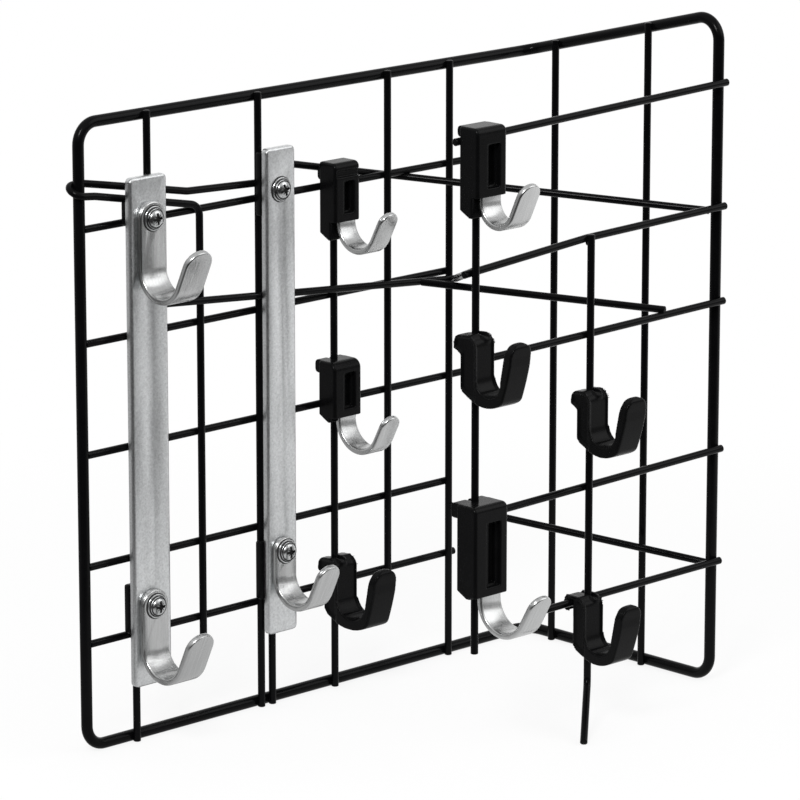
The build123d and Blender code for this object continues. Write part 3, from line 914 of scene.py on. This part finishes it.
class WALL_OT_holders(bpy.types.Operator):
    """Make the clip-on holders"""
    bl_idname = "wall.holders"
    bl_label = "Holders"

    def execute(self, context):
        for node in HOLDERS:
            obj = add_piece("moulded_" + node, merged_copy(node), finish("moulded_plastic"), node)
            melt(obj, HOLDER_ROUNDS, HOLDER_SWELL)
            clear_bore(obj, node)
        return {"FINISHED"}


class WALL_OT_moulded_hooks(bpy.types.Operator):
    """Make the moulded hooks"""
    bl_idname = "wall.moulded_hooks"
    bl_label = "Moulded hooks"

    def execute(self, context):
        for node in MOULDED_HOOKS:
            moulded_hook(node)
        return {"FINISHED"}


# Stage

def camera_axes(studio):
    """Right, up and forward of the camera."""
    turn, pitch = studio.camera_turn, studio.camera_pitch
    ahead = Vector((math.sin(turn) * math.cos(pitch), math.cos(turn) * math.cos(pitch), -math.sin(pitch)))
    right = Vector((math.cos(turn), -math.sin(turn), 0.0))
    return right, right.cross(ahead), ahead


def add_light(name, place, aim, size, power):
    """A rectangular area light that looks at a point."""
    data = bpy.data.lights.new(name, "AREA")
    data.shape = "RECTANGLE"
    data.size, data.size_y = size
    data.energy = power
    lamp = bpy.data.objects.new(name, data)
    lamp.location = place
    lamp.rotation_mode = "QUATERNION"
    lamp.rotation_quaternion = (Vector(aim) - Vector(place)).to_track_quat("-Z", "Y")
    bpy.context.scene.collection.objects.link(lamp)


def add_camera(studio, right, up, ahead):
    """The photograph's camera."""
    data = bpy.data.cameras.new("photo_camera")
    data.sensor_width = SENSOR_MM
    data.lens = studio.lens
    data.clip_end = VIEW_END
    camera = bpy.data.objects.new("photo_camera", data)
    facing = Matrix((right, up, -ahead)).transposed().to_4x4()
    camera.matrix_world = Matrix.Translation(studio.camera_place) @ facing
    bpy.context.scene.collection.objects.link(camera)
    bpy.context.scene.camera = camera


def white_floor(right, ahead):
    """Pale floor that keeps a faint shadow, ends in pure white and darkens in reflections near the camera."""
    look = Finish("white_floor")
    seen = look.node("ShaderNodeLightPath", out="Is Camera Ray")
    mirrored = look.node("ShaderNodeLightPath", out="Is Glossy Ray")
    here = look.node("ShaderNodeTexCoord", out="Object")
    foot = ((CAD_BOX[0] + CAD_BOX[1]) / 2).xy.to_3d()
    away = look.node("ShaderNodeVectorMath", {"operation": "DISTANCE"}, {0: here, 1: foot}, out="Value")
    rim = look.ramp(away, *SHADOW_FADE)
    depth = look.ramp(look.dot(here, ahead) - foot.dot(ahead), *MIRROR_AHEAD)
    side = look.ramp(look.dot(here, right) - foot.dot(right), *MIRROR_RIGHT)
    near = look.ramp(away, *MIRROR_AWAY)
    paper = look.node("ShaderNodeBsdfDiffuse", {}, {"Color": PAPER})
    white = look.node("ShaderNodeEmission", {}, {
        "Color": WHITE, "Strength": seen + mirrored * depth * side * near})
    return look.show(look.node("ShaderNodeMixShader", {}, {0: seen * rim + mirrored, 1: paper, 2: white}))


def add_floor(studio, right, ahead):
    """The pale floor, which isn't part of the object."""
    bm = bmesh.new()
    bmesh.ops.create_circle(bm, cap_ends=True, segments=FLOOR_SIDES, radius=studio.floor,
                            matrix=Matrix.Translation(studio.floor_place))
    mesh = bpy.data.meshes.new("floor")
    bm.to_mesh(mesh)
    bm.free()
    floor = bpy.data.objects.new("floor", mesh)
    bpy.context.scene.collection.objects.link(floor)
    set_only_material(floor, white_floor(right, ahead))


def studio_world(studio, ahead):
    """Soft light from above and from the backdrop, dark behind the camera, and plain white to the camera."""
    world = bpy.data.worlds.new("studio")
    world.use_nodes = True
    sky = Graph(world.node_tree)
    sky.tree.nodes.clear()
    way = sky.node("ShaderNodeTexCoord", out="Generated")
    height = sky.node("ShaderNodeSeparateXYZ", {}, {0: way}, out="Z")
    along = sky.dot(way, ahead)
    low = (sky.ramp(along, SHADE_ENDS, (studio.shade, studio.horizon))
           + sky.ramp(along, BACKDROP_ENDS, (0.0, studio.backdrop - studio.horizon)))
    dome = low + sky.ramp(height, *SKY_FADE) * (studio.sky - low)
    seen = sky.node("ShaderNodeLightPath", out="Is Camera Ray")
    light = sky.node("ShaderNodeBackground", {}, {"Color": WHITE, "Strength": dome * (1.0 - seen) + seen})
    sky.node("ShaderNodeOutputWorld", {}, {"Surface": light}, out=None)
    return world


class WALL_OT_stage(bpy.types.Operator):
    """Set up the floor, the light and the camera"""
    bl_idname = "wall.stage"
    bl_label = "Stage"

    def execute(self, context):
        scene = context.scene
        studio = scene.wall_studio
        right, up, ahead = camera_axes(studio)
        level = ahead.xy.to_3d().normalized()
        add_floor(studio, right, level)
        scene.world = studio_world(studio, level)
        middle = (CAD_BOX[0] + CAD_BOX[1]) / 2
        add_light("key", KEY_PLACE, middle, KEY_SIZE, studio.key)
        add_light("fill", FILL_PLACE, middle, FILL_SIZE, studio.fill)
        add_camera(studio, right, up, ahead)
        scene.view_settings.view_transform = "Standard"
        return {"FINISHED"}


STEPS = (WALL_OT_wires, WALL_OT_bars, WALL_OT_straps, WALL_OT_screws, WALL_OT_holders, WALL_OT_moulded_hooks,
         WALL_OT_stage)
GROUPS = {"wall_sizes": WallSizes, "wall_finishes": WallFinishes, "wall_studio": WallStudio}


class WALL_PT_panel(bpy.types.Panel):
    """Lists the steps and their settings"""
    bl_idname = "WALL_PT_panel"
    bl_label = "Tool wall"
    bl_space_type = "VIEW_3D"
    bl_region_type = "UI"
    bl_category = "Tool wall"

    def draw(self, context):
        layout = self.layout
        for step in STEPS:
            layout.operator(step.bl_idname)
        for group in GROUPS:
            settings = getattr(context.scene, group)
            for key in settings.__annotations__:
                layout.prop(settings, key)


CLASSES = (*GROUPS.values(), *STEPS, WALL_PT_panel)


def register():
    for cls in CLASSES:
        bpy.utils.register_class(cls)
    for key, cls in GROUPS.items():
        setattr(bpy.types.Scene, key, bpy.props.PointerProperty(type=cls))


def unregister():
    for key in GROUPS:
        delattr(bpy.types.Scene, key)
    for cls in reversed(CLASSES):
        bpy.utils.unregister_class(cls)


def main():
    register()
    for step in STEPS:
        group, name = step.bl_idname.split(".")
        getattr(getattr(bpy.ops, group), name)()


if __name__ == "__main__":
    main()
